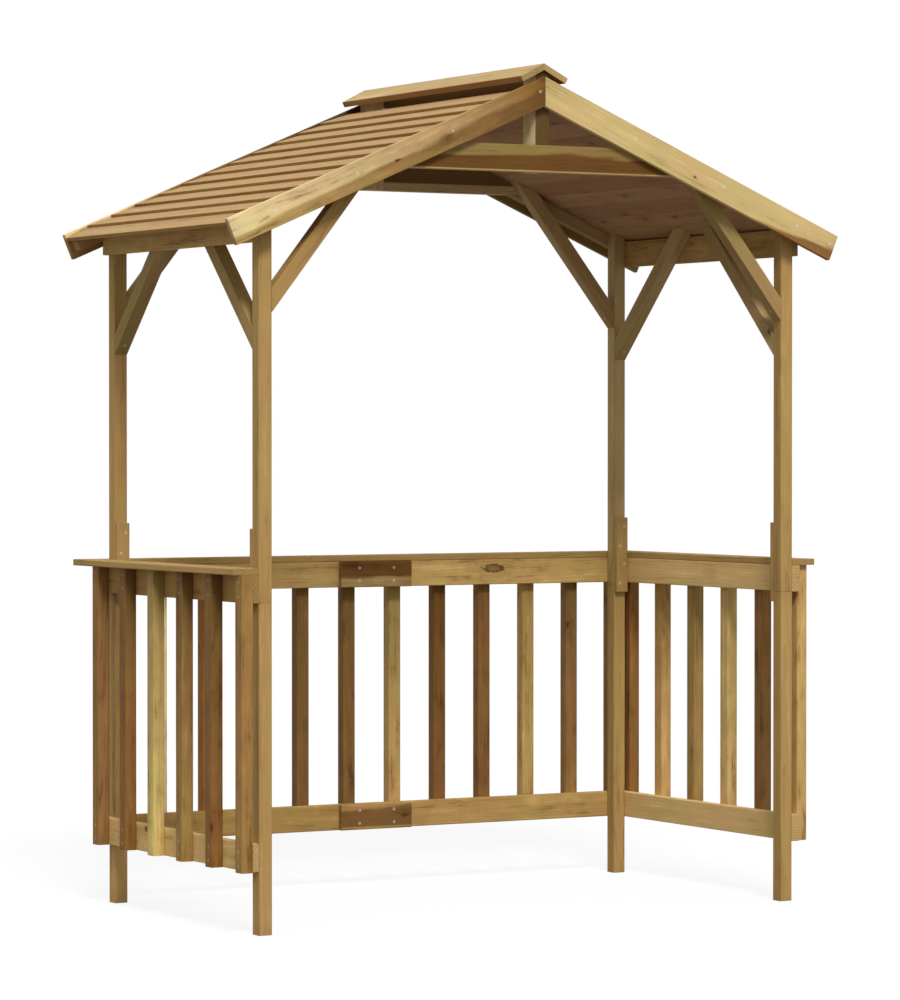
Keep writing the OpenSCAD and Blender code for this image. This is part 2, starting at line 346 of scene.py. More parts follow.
def timber_axes(island):
    """Directions along, across and through a timber, from its own edges.

    Across is the wider way, and points up, or else right or back.
    """
    edges = dict.fromkeys(e for v in island for e in v.link_edges)
    edges = sorted(edges, key=lambda e: -e.calc_length())
    along = (edges[0].verts[1].co - edges[0].verts[0].co).normalized()
    if max(along, key=abs) < 0:
        along = -along
    across, widest = None, 0
    for edge in edges:
        way = edge.verts[1].co - edge.verts[0].co
        way -= along * way.dot(along)
        if way.length < max(ACROSS_SHARE * edge.calc_length(), SHORT_EDGE):
            continue
        way.normalize()
        reach = [v.co.dot(way) for v in island]
        width = max(reach) - min(reach)
        if width > widest + SAME_WIDTH:
            across, widest = way, width
    if across.z < -LEVEL or (abs(across.z) <= LEVEL and max(across, key=abs) < 0):
        across = -across
    return along, across, along.cross(across)


beam = merged_copy("left_eaves_beam")
print("the eaves beams run along", [round(x) for x in timber_axes(list(beam.verts))[0]])
beam.free()

# %% A palette and a way to name a board's look
TONES = {
    "cream": linear(250, 232, 182),
    "ivory": linear(240, 214, 160),
    "linen": linear(204, 180, 134),
    "straw": linear(211, 184, 127),
    "maize": linear(222, 195, 122),
    "blond": linear(222, 187, 126),
    "wheat": linear(190, 156, 100),
    "sand": linear(182, 149, 106),
    "corn": linear(204, 166, 106),
    "flax": linear(186, 158, 110),
    "reed": linear(166, 138, 92),
    "honey": linear(176, 142, 88),
    "tan": linear(168, 132, 80),
    "toffee": linear(158, 122, 72),
    "moss": linear(152, 128, 78),
    "olive": linear(140, 112, 64),
    "russet": linear(142, 100, 56),
    "rust": linear(134, 92, 42),
    "chestnut": linear(132, 94, 56),
    "hazel": linear(146, 108, 66),
    "umber": linear(122, 90, 53),
    "ash": linear(120, 94, 60),
    "loam": linear(98, 76, 44),
    "clay": linear(172, 133, 96),
    "rose": linear(160, 120, 88),
    "cocoa": linear(108, 74, 38),
    "peat": linear(68, 48, 28),
}


# Lines that lie off the board, and no knot.
NO_CROWN, NO_FOOT, NO_KNOT = (2, 2), (-1, -1), (0, 0, 0)


class Look:
    """A board's tones, each from its start to its end, and where they meet.

    crown is the tone above a line across the board and foot the one below
    another. A line is given as shares of the board's width at its two ends.
    knot places one large knot: shares of length and width, and its radius.
    """

    def __init__(
        self, body, crown=None, crown_line=NO_CROWN, foot=None, foot_line=NO_FOOT, knot=NO_KNOT,
    ):
        self.body = self.pair(body)
        self.crown = self.pair(crown or body)
        self.foot = self.pair(foot or body)
        self.crown_line, self.foot_line = crown_line, foot_line
        self.knot = knot

    @staticmethod
    def pair(tone):
        start, end = (tone, tone) if isinstance(tone, str) else tone
        return TONES[start], TONES[end]


def looks(*bodies):
    """Plain looks, one for each body."""
    return [Look(body) for body in bodies]


def between(ends, share):
    """The value at a share of the way between two numbers or two colours."""
    if isinstance(ends[0], tuple):
        return tuple(between(pair, share) for pair in zip(*ends))
    return ends[0] + (ends[1] - ends[0]) * share


print(len(TONES), "tones of wood")

# %% Write the measurements on a mesh
# A timber's distance from the heart of its tree, and its lean a metre.
HEART_NEAR, HEART_FAR = 0.025, 0.10
LEAN = 0.020
RUN_OF_LOG = 40.0
# Heights of a vertex normal under which it is on the underside and over which
# it is on the upper side. What lies between is an edge. Painted shade goes on
# the underside and on the edges.
UNDERSIDE, UPPER_SIDE = -0.68, 0.45
ON, OFF = 0.02, -0.02


def measure_timbers(bm, dealt, order, seed, shade_by_face=False):
    """Gives every timber its grain, its board sizes and its tones.

    dealt holds the looks, dealt out along the direction order. With shade_by_face,
    a look's foot paints shade on the underside and its crown paints shade on
    the edges.
    """
    bm.normal_update()
    draw = random.Random(seed)
    vectors, colors = bm.verts.layers.float_vector, bm.verts.layers.float_color
    grain, board, lines, from_knot = map(vectors.new, ("grain", "board", "lines", "from_knot"))
    body, crown, foot = map(colors.new, ("body", "crown", "foot"))
    found = in_order(bm, order)
    for number, part in enumerate(found):
        ways = timber_axes(part)
        reach = [[v.co.dot(way) for v in part] for way in ways]
        low = [min(r) for r in reach]
        length, width, thickness = (max(r) - min(r) for r in reach)
        turn = draw.uniform(0, 2 * math.pi)
        heart = draw.uniform(HEART_NEAR, HEART_FAR)
        lean = (draw.uniform(-LEAN, LEAN), draw.uniform(-LEAN, LEAN))
        start = draw.uniform(0, RUN_OF_LOG)
        look = dealt[number % len(dealt)]
        knot_run, knot_side, radius = look.knot
        for vert in part:
            run, side, deep = (vert.co.dot(way) - edge for way, edge in zip(ways, low))
            a = side - width / 2 + heart * math.cos(turn) + lean[0] * run
            b = deep - thickness / 2 + heart * math.sin(turn) + lean[1] * run
            share = run / length
            over_crown = side - between(look.crown_line, share) * width
            under_foot = between(look.foot_line, share) * width - side
            # Painted shade by face: the underside takes the foot tone, the edges the crown tone.
            if shade_by_face:
                over_crown = ON if UNDERSIDE < vert.normal.z < UPPER_SIDE else OFF
                under_foot = ON if vert.normal.z < UNDERSIDE else OFF
            vert[grain] = (a, b, run + start)
            vert[board] = (run, length, 0)
            vert[lines] = (over_crown, under_foot, 0)
            vert[from_knot] = (run - knot_run * length, side - knot_side * width, radius)
            vert[body] = between(look.body, share)
            vert[crown] = between(look.crown, share)
            vert[foot] = between(look.foot, share)
    return len(found)


print("timbers can be measured")

# %% [markdown]
# ## Softwood
# A log is a stack of cones, one for each year, pale in spring and dark in
# late summer. Cut lengthwise it shows lines, and cut across it shows arcs.
# Distance from the heart gives both from one sum. A painted picture of grain
# could not turn the corner onto the end of a board, and this does. Slow noise
# pulls the rings about, finer noise streaks them, and knots are small spots
# that push the rings aside. Everything stays in real metres.

# %% Patterns that follow the grain
def measured(tree, attribute, out="Vector"):
    """What measure_timbers wrote on the mesh."""
    return tree.add("ShaderNodeAttribute", {"attribute_name": attribute}, out=out)


def figure(tree, grain, across, along, detail=3.0, roughness=0.5):
    """Noise with so many features a metre across the grain and along it."""
    return tree.noise(tree.stretch(grain, across, across, along), 1.0, detail, roughness)


def tinted(tree, wood, red, green, blue):
    """The wood with its colour scaled."""
    return tree.blend(1.0, wood, (red, green, blue, 1), "MULTIPLY")


print("patterns stretch with the grain")

# %% Knots
KNOT_EDGE, HALO_EDGE = (0.006, 0.011), (0.010, 0.040)
# Knots are drawn out along the grain, so their pattern runs slower there.
KNOT_ALONG, LARGE_KNOT_ALONG = 0.55, 0.36
KNOT_RAGGED, LARGE_KNOT_RAGGED = 0.006, 1.2
# A large knot has a dark rim, a paler core and a wide halo.
RIM_EDGE, CORE_EDGE, CORE_FADE = (0.0005, 0.004), (0.004, 0.012), 0.35
HALO_SPREAD, HALO_FADE = 2.6, 0.02


def small_knots(tree, grain, ragged, every):
    """Sparse knots through the log and their halos, and how far off one is."""
    lattice = tree.stretch(grain, 1 / every, 1 / every, KNOT_ALONG / every)
    spot = tree.add("ShaderNodeTexVoronoi", {"feature": "F1"}, {"Vector": lattice, "Scale": 1.0})
    reach = spot * every
    knot = 1 - tree.step(reach + ragged * KNOT_RAGGED, *KNOT_EDGE)
    return knot, 1 - tree.step(reach, *HALO_EDGE), reach


def large_knot(tree, ragged):
    """The one large knot that a board may have, and its halo."""
    ahead, aside, radius = tree.split(measured(tree, "from_knot"))
    ahead = ahead * LARGE_KNOT_ALONG
    away = (ahead * ahead + aside * aside) ** 0.5 + ragged * radius * LARGE_KNOT_RAGGED
    inside = radius - away
    knot = tree.step(inside, *RIM_EDGE) * (1 - tree.step(inside, *CORE_EDGE) * CORE_FADE)
    return knot, tree.step(radius * HALO_SPREAD - away, 0.0, HALO_FADE)


def all_knots(tree, grain, under_foot, every, above):
    """Knots, halos and how far off a small knot is.

    above is how well small knots show on faces that the foot doesn't cover:
    weather pales those on top of a roof.
    """
    ragged = figure(tree, grain, 90, 60, 2.0) - 0.5
    small, small_halo, reach = small_knots(tree, grain, ragged, every)
    large, large_halo = large_knot(tree, ragged)
    shown = above + tree.step(under_foot, OFF, ON) * (1 - above)
    knot = small.math("MAXIMUM", small * shown, large)
    return knot, small.math("MAXIMUM", small_halo * shown, large_halo), reach


print("knots", round(2000 * KNOT_EDGE[0]), "to", round(2000 * KNOT_EDGE[1]), "mm wide")

# %% Rings and streaks
RING = 0.009
# How far the rings drift from a circle, and how far a knot pushes them.
RING_DRIFT, KNOT_PUSH = 0.045, 0.010
# A ring darkens by this power, which gives it this mean darkness.
LATE_WOOD, MEAN_LATE = 1.6, 0.38


def year_rings(tree, grain, halo):
    """0 in spring wood, rising to 1 in late wood, and the rings' drift."""
    x, y, _ = tree.split(grain)
    from_heart = (x * x + y * y) ** 0.5
    drift = figure(tree, grain, 11, 2.2)
    year = (from_heart + (drift - 0.5) * RING_DRIFT + halo * KNOT_PUSH) / RING
    return year.math("FRACT", year) ** LATE_WOOD, drift


def light_and_dark(tree, grain, late, rings, streaks, mottle):
    """How light the wood is, 1 on average, its fine noise and its blotches."""
    broad = figure(tree, grain, 26, 1.6, 2.0)
    middling = figure(tree, grain, 62, 4.0, 2.0)
    fine = figure(tree, grain, 420, 14, 2.0, 0.6)
    blotch = figure(tree, grain, 24, 11, 4.0, 0.62)
    light = 1.0 + (broad - 0.5) * (2.2 * streaks) + (middling - 0.5) * (1.7 * streaks)
    light = light + (fine - 0.5) * (0.8 * streaks) + (MEAN_LATE - late) * rings
    return light + (blotch - 0.5) * (2.0 * mottle), fine, blotch


print("rings", RING * 1000, "mm wide")

# %% The colour of the wood
# How far the border between a board's tones wanders, the foot's by a share
# of it, and half the width it fades over.
WANDER, FOOT_WANDER = 0.044, 0.08
CROWN_FADE, FOOT_FADE = 0.006, 0.002
HALO_DARK, KNOT_DARK = 0.28, 0.8
KNOT_HEART, KNOT_RIM = linear(100, 60, 32), linear(64, 38, 22)


def board_tones(tree, grain, over_crown, under_foot):
    """The tones that the board's look gives it."""
    wander = (figure(tree, grain, 26, 3.5) - 0.5) * WANDER
    at_crown = tree.step(over_crown + wander, -CROWN_FADE, CROWN_FADE)
    at_foot = tree.step(under_foot + wander * FOOT_WANDER, -FOOT_FADE, FOOT_FADE)
    wood = tree.blend(at_crown, measured(tree, "body", "Color"), measured(tree, "crown", "Color"))
    return tree.blend(at_foot, wood, measured(tree, "foot", "Color"))


def shaded(tree, wood, light):
    """Dark wood is redder than pale wood, so shade is a colour and no grey."""
    deep = tinted(tree, wood, 0.46, 0.35, 0.27)
    rich = tinted(tree, wood, 1.50, 1.54, 1.58)
    wood = tree.blend(tree.step(light, 0.35, 1.0), deep, wood)
    return tree.blend(tree.step(light, 1.0, 1.75), wood, rich)


def treated(tree, wood, grain, hue):
    """A greener cast of treatment here, a warmer one there."""
    green = tinted(tree, wood, 1 - 0.02 * hue, 1 + 0.015 * hue, 1 - 0.06 * hue)
    warm = tinted(tree, wood, 1 + 0.02 * hue, 1 - 0.02 * hue, 1 - 0.02 * hue)
    return tree.blend(tree.step(figure(tree, grain, 13, 3.6, 2.0), 0.34, 0.66), green, warm)


def knotted(tree, wood, knot, halo, reach):
    """Dark knots, each in a reddish halo."""
    wood = tree.blend(halo * HALO_DARK, wood, tinted(tree, wood, 0.62, 0.46, 0.38))
    shade = tree.blend(tree.step(reach, 0.0, 0.010), KNOT_HEART, KNOT_RIM)
    return tree.blend(knot * KNOT_DARK, wood, shade)


print("borders wander", WANDER * 500, "mm each way at most")

# %% Drying checks and sawn ends
CHECK_BEND = (0.012, 0.012, 0.0)
CHECK_RARE = (0.755, 0.79)
CHECK_DARK, SOAKED_DARK, END_DARK = 0.32, 0.10, 0.55
END_GRAIN, SOAKED = (0.0002, 0.0008), 0.06


def drying_checks(tree, grain, drift):
    """Short splits along the grain, which bend with the rings."""
    bend = {0: drift.output("Color"), 1: CHECK_BEND, 2: grain}
    bent = tree.add("ShaderNodeVectorMath", {"operation": "MULTIPLY_ADD"}, bend)
    return tree.step(figure(tree, bent, 170, 9, 1.0), *CHECK_RARE)


def with_ends(tree, wood, late):
    """End grain on the ends, and inside them wood that took up more treatment."""
    run, length, _ = tree.split(measured(tree, "board"))
    from_end = run.math("MINIMUM", run, length - run)
    end = 1 - tree.step(from_end, *END_GRAIN)
    soaked = (1 - tree.step(from_end, 0.0, SOAKED)) * (1 - end)
    wood = tree.blend(soaked * SOAKED_DARK, wood, linear(96, 72, 40))
    sawn_end = tree.blend(late, linear(164, 134, 84), linear(112, 84, 50))
    return tree.blend(end * END_DARK, wood, sawn_end)


print("end grain fades out", END_GRAIN[1] * 1000, "mm from an end")

# %% Softwood material
RELIEF, SHEEN = 0.0008, 0.10


def softwood(
    name, rings=0.24, streaks=0.36, mottle=0.28, knot_every=0.17, hue=1.0, rough=0.66, bump=0.5,
    knots_above=1.0,
):
    """Softwood with rings, streaks and mottling of the strengths given."""
    paint, tree = new_material(name)
    grain = measured(tree, "grain")
    over_crown, under_foot, _ = tree.split(measured(tree, "lines"))
    knot, halo, reach = all_knots(tree, grain, under_foot, knot_every, knots_above)
    late, drift = year_rings(tree, grain, halo)
    light, fine, blotch = light_and_dark(tree, grain, late, rings, streaks, mottle)
    check = drying_checks(tree, grain, drift)

    wood = board_tones(tree, grain, over_crown, under_foot)
    wood = treated(tree, shaded(tree, wood, light), grain, hue)
    wood = knotted(tree, wood, knot, halo, reach)
    wood = tree.blend(check * CHECK_DARK, wood, linear(66, 42, 24))
    wood = with_ends(tree, wood, late)

    roughness = rough + (fine - 0.5) * 0.20 + (blotch - 0.5) * 0.12 + knot * -0.12
    height = late * 0.35 + fine * 0.5 + blotch * 0.3 + knot * -0.4 + check * -1.0
    surface = {"Base Color": wood, "Roughness": roughness, "Specular IOR Level": SHEEN}
    end_material(tree, bump, RELIEF, height, surface)
    return paint


planed = softwood("planed_softwood")
figured = softwood(
    "figured_softwood", rings=0.26, streaks=0.50, mottle=0.66, knot_every=0.14, hue=1.5,
)
sawn = softwood(
    "sawn_softwood", rings=0.20, streaks=0.34, mottle=0.30, knot_every=0.085, rough=0.78, bump=0.8,
    knots_above=0.12,
)
print("softwood trees hold", len(planed.node_tree.nodes), "nodes")

# %% [markdown]
# ## Timbers that keep their shape
# Legs, posts, rails, shelves, beams, braces and boards are already the right
# shape, so each is a merged copy of its solid with its edges eased by a small
# bevel. Building them again from sizes would only repeat the numbers. A Bevel
# modifier would do as well, but the measurements have to be written on the
# final corners, so the bevel is made in the mesh.

# %% Ease the edges and dress a node
# Thin boards and caps are eased less than thick timbers.
EASE, THIN_EASE = 0.0016, 0.001
SHARP = math.radians(25)


def ease_edges(bm, width=EASE):
    edges = [e for e in bm.edges if e.is_manifold and e.calc_face_angle(0) > SHARP]
    bmesh.ops.bevel(bm, geom=edges, offset=width, segments=2, profile=0.6, affect="EDGES")


def finish_piece(bm, name, paint, nodes):
    """Turns a bmesh into a piece that rides with the shelter."""
    bmesh.ops.recalc_face_normals(bm, faces=bm.faces)
    piece = add_object(name, as_mesh(bm, name))
    piece.data.materials.append(paint)
    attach(piece, "root")
    if nodes:
        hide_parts(*nodes)
    return piece


def dress(
    node, dealt, order=(0, 0, 1), paint=None, ease=EASE, planed_off=0.0, shade_by_face=False,
):
    """Dresses a node. planed_off is what its front and back faces lose."""
    bm = merged_copy(node)
    bmesh.ops.recalc_face_normals(bm, faces=bm.faces)
    centre = middle(list(bm.verts))
    for vert in bm.verts:
        vert.co.y -= math.copysign(planed_off, vert.co.y - centre.y)
    ease_edges(bm, ease)
    count = measure_timbers(bm, dealt, order, node, shade_by_face)
    finish_piece(bm, node + "_wood", paint or planed, [node])
    return count


LEGS_AND_POSTS = {
    "front_left": ("honey", "honey"), "front_right": ("honey", "honey"),
    "back_left": ("corn", "honey"), "back_right": ("honey", "flax"),
}
for corner, (leg, post) in LEGS_AND_POSTS.items():
    dress(corner + "_leg", looks(leg))
    dress(corner + "_post", looks(post))
print(2 * len(LEGS_AND_POSTS), "legs and posts dressed")

# %% Braces and splice plates
GABLE_BRACES = {
    "front_left": ("honey", "toffee"), "front_right": ("reed", "moss"),
    "back_left": ("flax", "reed"), "back_right": ("reed", "flax"),
}
for corner, tones in GABLE_BRACES.items():
    dress(corner + "_gable_brace", looks(tones))
    side_tones = ("flax", "reed") if "right" in corner else ("reed", "moss")
    dress(corner + "_side_brace", looks(side_tones))
# Painted light and shade: the cream body lights the left face, which the roof keeps from the sun, and
# the loam foot darkens the front face in the barge boards' shade.
dress("front_king_post", [Look("cream", foot="loam", foot_line=(0.03, 0.03))])
dress("back_king_post", looks(("ivory", "corn")))
plates = dress("post_splices", looks("honey"))
low_plate = Look("umber", crown="tan", crown_line=(0.78, 0.97), foot="toffee", foot_line=(0.12, 0.12))
high_plate = Look("reed", crown="cocoa", crown_line=(0.30, 0.40))
plates += dress("rail_joint_plates", [low_plate, high_plate], paint=figured)
print(plates, "plates dressed")

# %% Rails, shelves and beams
ACROSS = (1, 0, 0)
top_rail_looks = [Look("wheat"), Look("corn", knot=(0.466, 0.64, 0.0165))]
dress("back_top_rail", top_rail_looks, ACROSS, paint=figured)
dress("back_bottom_rail", looks("tan", "honey"), ACROSS, paint=figured)
dress("left_top_rail", looks("tan"))
dress("left_bottom_rail", looks("blond"), paint=figured)
dress("right_top_rail", looks("blond"))
dress("right_bottom_rail", looks("blond"))
for side in ("left", "right", "back"):
    dress(side + "_shelf", looks("honey"))
dress("left_eaves_beam", looks("corn"), paint=figured)
dress("right_eaves_beam", looks("honey"), paint=figured)
# Painted shade: the hazel foot darkens the left cap's lower edge.
left_cap = Look("flax", foot="hazel", foot_line=(0.03, 0.03))
dress("left_ridge_cap", [left_cap], ease=THIN_EASE)
# Painted shade: the cocoa foot darkens the right cap's underside.
right_cap = Look("blond", foot="cocoa")
dress("right_ridge_cap", [right_cap], ease=THIN_EASE, shade_by_face=True)
print("rails, shelves, beams and caps dressed")

# %% Barge boards, collars and gable rafters
FACE_PLANED_OFF = 0.0006
BARGE_BOARDS = {
    "front_left": Look(
        ("wheat", "cocoa"), crown=("ivory", "rust"), crown_line=(0.30, 0.58), knot=(0.51, 0.42, 0.006),
    ),
    "front_right": Look(
        ("tan", "russet"), crown="straw", crown_line=(-1.30, 0.46), knot=(0.52, 0.35, 0.005),
    ),
    "back_left": Look(("tan", "peat"), crown=("ivory", "tan"), crown_line=(0.85, 1.45)),
    "back_right": Look(("loam", "moss")),
}
for corner, look in BARGE_BOARDS.items():
    paint = figured if "left" in corner else planed
    dress(corner + "_barge_board", [look], paint=paint, planed_off=FACE_PLANED_OFF)
front_collar = Look(
    "cocoa", crown=("moss", "olive"), crown_line=(0.54, 0.62), foot="wheat", foot_line=(0.05, 0.05),
)
dress("front_collar", [front_collar])
# Painted light and shade: the cool ash body stands in for the cool shade under the roof, and the linen
# lower third is painted lighter where light reaches it.
dress("back_collar", [Look("ash", foot="linen", foot_line=(0.34, 0.34))])
dress("gable_rafters", looks("sand"), paint=sawn)
print("roof frame dressed")

# %% [markdown]
# ## Pales by rule
# A row of pales is one stick set out at an even step, which is just what
# Geometry Nodes do well. The tree sweeps a rounded outline up a line, copies
# the stick along the row and makes the copies real. Its sizes are named
# inputs, so the same tree makes the short rows and the long one. Array
# modifiers would repeat a stick too, but they carry no rounded outline.

# %% Pale row tree
def start_group(name, inputs):
    """A Geometry Nodes group with inputs of the kinds and values given."""
    group = bpy.data.node_groups.new(name, "GeometryNodeTree")
    ids = {}
    for label, (kind, value) in {"Geometry": ("Geometry", None), **inputs}.items():
        socket = group.interface.new_socket(name=label, in_out="INPUT", socket_type="NodeSocket" + kind)
        if value is not None:
            socket.default_value = value
        ids[label] = socket.identifier
    group.interface.new_socket(name="Geometry", in_out="OUTPUT", socket_type="NodeSocketGeometry")
    return group, ids, Tree(group)


def end_group(tree, copies, paint):
    """Makes the copies real, gives them their material and hands them out."""
    solid = tree.add("GeometryNodeRealizeInstances", {}, {0: copies})
    dyed = tree.add("GeometryNodeSetMaterial", {}, {"Geometry": solid, "Material": paint})
    tree.add("NodeGroupOutput", {}, {"Geometry": dyed})


def pale_row_tree():
    group, ids, tree = start_group("pale_row", {
        "Count": ("Int", 6), "Step": ("Vector", (0.2, 0, 0)), "Start": ("Vector", (0, 0, 0)),
        "Across": ("Float", 0.044), "Through": ("Float", 0.038), "Height": ("Float", 0.877),
        "Ease": ("Float", 0.002), "Wood": ("Material", None),
    })
    given = tree.add("NodeGroupInput", out="Count")
    sides = {"Width": given.output("Across"), "Height": given.output("Through")}
    outline = tree.add("GeometryNodeCurvePrimitiveQuadrilateral", {"mode": "RECTANGLE"}, sides)
    rounded = tree.add(
        "GeometryNodeFilletCurve", {"mode": "POLY"},
        {"Curve": outline, "Count": 3, "Radius": given.output("Ease")},
    )
    top = tree.add("ShaderNodeCombineXYZ", {}, {"Z": given.output("Height")})
    height = tree.add("GeometryNodeCurvePrimitiveLine", {"mode": "POINTS"}, {"End": top})
    swept = {"Curve": height, "Profile Curve": rounded, "Fill Caps": True}
    stick = tree.add("GeometryNodeCurveToMesh", {}, swept)
    places = tree.add(
        "GeometryNodeMeshLine", {"mode": "OFFSET"},
        {"Count": given, "Start Location": given.output("Start"), "Offset": given.output("Step")},
    )
    row = tree.add("GeometryNodeInstanceOnPoints", {}, {"Points": places, "Instance": stick})
    end_group(tree, row, given.output("Wood"))
    return group, ids


def run_tree(base, group_and_ids, values):
    """Runs a Geometry Nodes group on an object and returns its mesh."""
    modifier = base.modifiers.new("nodes", "NODES")
    modifier.node_group, ids = group_and_ids
    for name, value in values.items():
        modifier[ids[name]] = value
    graph = bpy.context.evaluated_depsgraph_get()
    mesh = bpy.data.meshes.new_from_object(base.evaluated_get(graph))
    base.modifiers.remove(modifier)
    bpy.data.objects.remove(base)
    return mesh


PALE_ROW = pale_row_tree()
print("pale row tree has", len(PALE_ROW[1]), "inputs")

# %% Make the three rows
BACK = (0, 1, 0)
PALE_EASE = 0.0025
# Pales that darken towards the top are partly their own change of tone and partly painted shade from
# the shelf and rails above.
ROWS = {
    "left_pales": (
        BACK,
        looks(
            "toffee", ("russet", "umber"), ("tan", "umber"),
            ("maize", "moss"), ("russet", "umber"), "hazel",
        ),
    ),
    "right_pales": (
        BACK,
        looks(
            ("wheat", "corn"), "hazel", ("blond", "wheat"),
            ("tan", "moss"), ("corn", "tan"), "russet",
        ),
    ),
    "back_pales": (
        ACROSS,
        looks(
            ("cocoa", "loam"), "ivory", "russet", "cocoa", "umber", "umber",
            ("wheat", "moss"), ("chestnut", "cocoa"), "chestnut",
            ("wheat", "tan"), ("hazel", "ash"), "hazel",
        ),
    ),
}


def island_boxes(node, order):
    """Lowest and highest corners of each solid of a node, in order."""
    bm = merged_copy(node)
    boxes = [corners(part) for part in in_order(bm, order)]
    bm.free()
    return boxes


for node, (order, dealt) in ROWS.items():
    boxes = island_boxes(node, order)
    low, high = boxes[0]
    size = high - low
    foot = Vector(((low.x + high.x) / 2, (low.y + high.y) / 2, low.z))
    step = boxes[1][0] - boxes[0][0]
    mesh = run_tree(
        add_object(node, bpy.data.meshes.new(node)), PALE_ROW,
        {"Count": len(boxes), "Step": step, "Start": foot, "Across": size.x,
         "Through": size.y, "Height": size.z, "Ease": PALE_EASE, "Wood": figured},
    )
    bm = bmesh.new()
    bm.from_mesh(mesh)
    bmesh.ops.remove_doubles(bm, verts=bm.verts, dist=WELD)
    made = measure_timbers(bm, dealt, order, node)
    finish_piece(bm, node + "_wood", figured, [node])
    print(node, made, "pales,", round(step.length * 1000), "mm apart")

# %% [markdown]
# ## Roof boards
# Feather-edged boards lap like slates, each thick lower edge over the thin
# upper edge of the next. The solid already has that section. One board goes
# into a Geometry Nodes tree that sets it out down the slope and shifts each
# copy by a hair along the ridge, because no two boards are nailed quite level.
# The last board, at the eaves, is ripped narrower, so it joins afterwards.

# %% Roof board tree
def board_slope_tree():
    group, ids, tree = start_group("board_slope", {
        "Count": ("Int", 11), "Step": ("Vector", (0.1, 0, 0)), "Stray": ("Vector", (0, 0.001, 0)),
        "Seed": ("Int", 3), "Wood": ("Material", None),
    })
    given = tree.add("NodeGroupInput", out="Count")
    line = {"Count": given, "Offset": given.output("Step")}
    places = tree.add("GeometryNodeMeshLine", {"mode": "OFFSET"}, line)
    stray = given.output("Stray")
    back = tree.add("ShaderNodeVectorMath", {"operation": "SCALE"}, {0: stray, "Scale": -1.0})
    shift = tree.add(
        "FunctionNodeRandomValue", {"data_type": "FLOAT_VECTOR"},
        {"Min": back, "Max": stray, "Seed": given.output("Seed")},
    )
    moved = tree.add("GeometryNodeSetPosition", {}, {"Geometry": places, "Offset": shift})
    board = given.output("Geometry")
    rows = tree.add("GeometryNodeInstanceOnPoints", {}, {"Points": moved, "Instance": board})
    end_group(tree, rows, given.output("Wood"))
    return group, ids


BOARD_SLOPE = board_slope_tree()
print("board tree has", len(BOARD_SLOPE[1]), "inputs")

# %% Lay both slopes
# How far a board is drawn in at its ends, and how far it may then stray.
END_PLAY = 0.0012
STRAY = END_PLAY * 0.8
DOWN = (0, 0, -1)


def keep_island(node, order, number):
    """A node's copy with only one of its solids left, its ends drawn in."""
    bm = merged_copy(node)
    part = in_order(bm, order)[number]
    centre, kept = middle(part), set(part)
    bmesh.ops.delete(bm, geom=[v for v in bm.verts if v not in kept], context="VERTS")
    for vert in bm.verts:
        vert.co.y -= math.copysign(END_PLAY, vert.co.y - centre.y)
    bmesh.ops.recalc_face_normals(bm, faces=bm.faces)
    ease_edges(bm, THIN_EASE)
    return bm


# Painted shade: the clay and rose foot darkens each board's underside, and the tan and toffee crown
# darkens its edges and the steps between boards.
ROOF_LOOKS = [
    Look("sand", crown=edge, foot=under)
    for edge, under in 2 * [("tan", "clay"), ("toffee", "rose")] + [("tan", "clay")]
]
for node in ("left_roof_boards", "right_roof_boards"):
    centres = [(low + high) / 2 for low, high in island_boxes(node, DOWN)]
    first, last = keep_island(node, DOWN, 0), keep_island(node, DOWN, -1)
    mesh = run_tree(
        add_object(node, as_mesh(first, node)), BOARD_SLOPE,
        {"Count": len(centres) - 1, "Step": centres[1] - centres[0],
         "Stray": (0, STRAY, 0), "Seed": len(node), "Wood": sawn},
    )
    last.from_mesh(mesh)
    made = measure_timbers(last, ROOF_LOOKS, DOWN, node, shade_by_face=True)
    finish_piece(last, node + "_wood", sawn, [node])
    print(node, made, "boards")

# %% [markdown]
# ## Screws
# Zinc-plated screws hold it all together. A head is a shallow dish eight
# millimetres wide with a square recess, a few dozen faces at most, because
# hundreds are placed. Points mark where they go, each with the way it faces,
# and Geometry Nodes put a head on every point and turn it. Placing linked
# copies in a loop would work, but hundreds of objects are slow to handle.

# %% Where the screws go
SCREW_PLACES = []
# A nail head's size beside a screw head's.
SMALL = 0.62
RAIL_MARGIN, BEAM_MARGIN = 0.021, 0.022


def screw(place, facing, size=1.0):
    SCREW_PLACES.append((Vector(place), Vector(facing).normalized(), size))


def screws_up(x, y, heights, facing, size=1.0):
    for height in heights:
        screw((x, y, height), facing, size)


def rail_heights(node, margin):
    """Two heights on a rail, a margin in from its edges."""
    low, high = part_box(node)
    return low[2] + margin, high[2] - margin


FENCE_HEIGHTS = rail_heights("back_top_rail", RAIL_MARGIN)
FENCE_HEIGHTS += rail_heights("back_bottom_rail", RAIL_MARGIN)
OUTWARD = {"left_pales": (-1, 0, 0), "right_pales": (1, 0, 0), "back_pales": (0, 1, 0)}
for node, facing in OUTWARD.items():
    for low, high in island_boxes(node, ROWS[node][0]):
        half = (high - low) / 2
        centre = (high + low) / 2
        face = centre + Vector(facing) * (half.y if facing[1] else half.x)
        screws_up(face.x, face.y, FENCE_HEIGHTS, facing, SMALL)
print(len(SCREW_PLACES), "nails in the pales")

# %% Screws in plates, rails, shelves and beams
JOINT_SCREW_REACH = 0.064
SPLICE_SCREWS = (0.12, 0.38, 0.62, 0.88)
SPLICE_ZIGZAG = 0.008
POST_MARGIN = 0.012
BACK_SHELF_SCREWS, SIDE_SHELF_SCREWS = 5, 4
BACK_SHELF_MARGIN = 0.04
SIDE_SHELF_MARGINS = (0.03, 0.07)
OVER_SIDE_RAIL = 0.015


